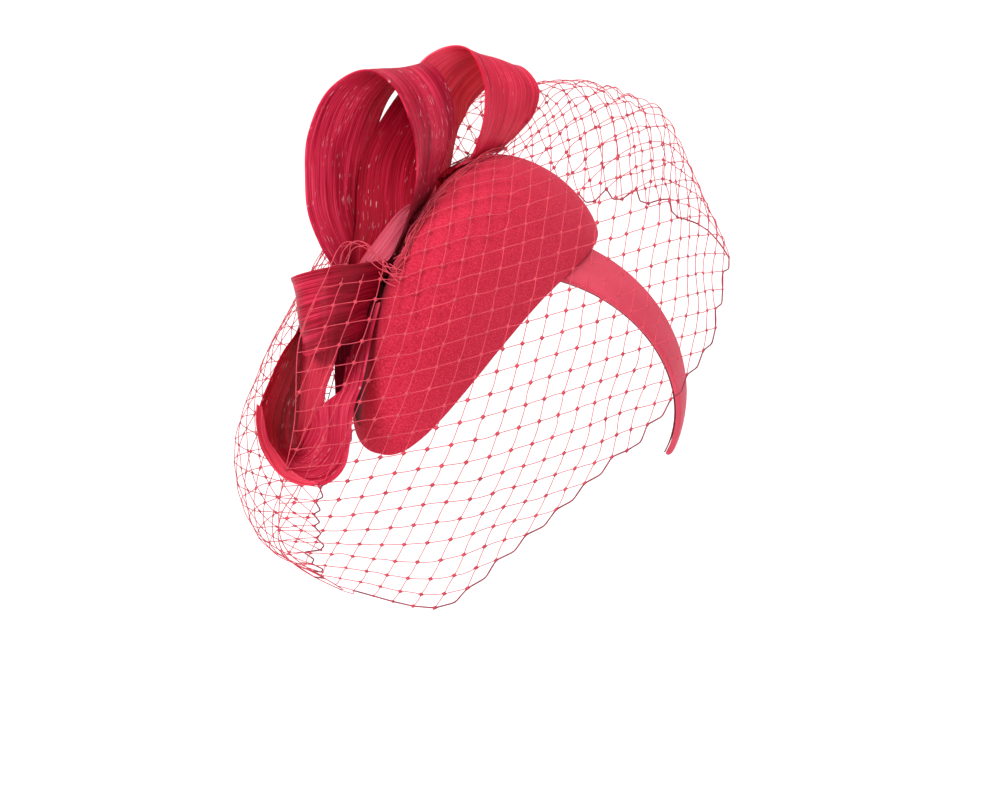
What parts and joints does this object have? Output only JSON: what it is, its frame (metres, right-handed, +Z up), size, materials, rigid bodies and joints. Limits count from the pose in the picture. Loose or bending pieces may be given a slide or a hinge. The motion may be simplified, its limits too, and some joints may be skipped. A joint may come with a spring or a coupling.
{
  "type": "fascinator headpiece",
  "caption": "Felt percher hat with looped ribbon bow and netted face veil, sewn on a fabric-covered headband with flexing arms.",
  "frame": {"origin": "on the head side of the headband's lining at the crown, in the middle of its width", "axes": "+X to the wearer's left, +Y to the wearer's back, +Z up along the plane in which the band stands"},
  "size_m": [0.2173, 0.2706, 0.244],
  "materials": {
    "felt": "crimson wool felt, short matt nap",
    "crepe": "crimson crepe-back satin, fine twill",
    "lining": "dark red ribbed petersham and lining cloth",
    "abaca": "crimson silk abaca, fibrous, half gloss",
    "net": "red millinery netting with small knots",
    "thread": "red thread",
    "core_plastic": "sprung plastic strip",
    "wire": "millinery wire"
  },
  "bodies": {
    "root": {"band_lining_middle": "lining", "band_core_middle": "core_plastic", "band_cover_middle": "crepe", "hat_shell": "felt", "hat_lining": "lining", "hat_edge_wire": "wire", "hat_sweatband": "lining", "loop_tall": "abaca", "loop_tall_inner": "abaca", "loop_rear": "abaca", "loop_low": "abaca", "loop_low_tail": "abaca", "bow_knot": "abaca", "trench_strip": "abaca", "side_strip": "abaca", "veil_net": "net", "veil_border_cord": "thread", "veil_gather_thread": "thread"},
    "band_left": {"band_lining_left": "lining", "band_core_left": "core_plastic", "band_cover_left": "crepe"},
    "band_right": {"band_lining_right": "lining", "band_core_right": "core_plastic", "band_cover_right": "crepe"}
  },
  "joints": [
    {"name": "band_left_flex", "type": "hinge", "parent": "root", "child": "band_left", "pos_m": [0.02128, 0, -0.00063], "axis": [0, -1, 0], "range_deg": [0, 6], "stiffness_Nm_per_rad": 1},
    {"name": "band_right_flex", "type": "hinge", "parent": "root", "child": "band_right", "pos_m": [-0.04582, 0, -0.01367], "axis": [0, 1, 0], "range_deg": [0, 6], "stiffness_Nm_per_rad": 1}
  ]
}
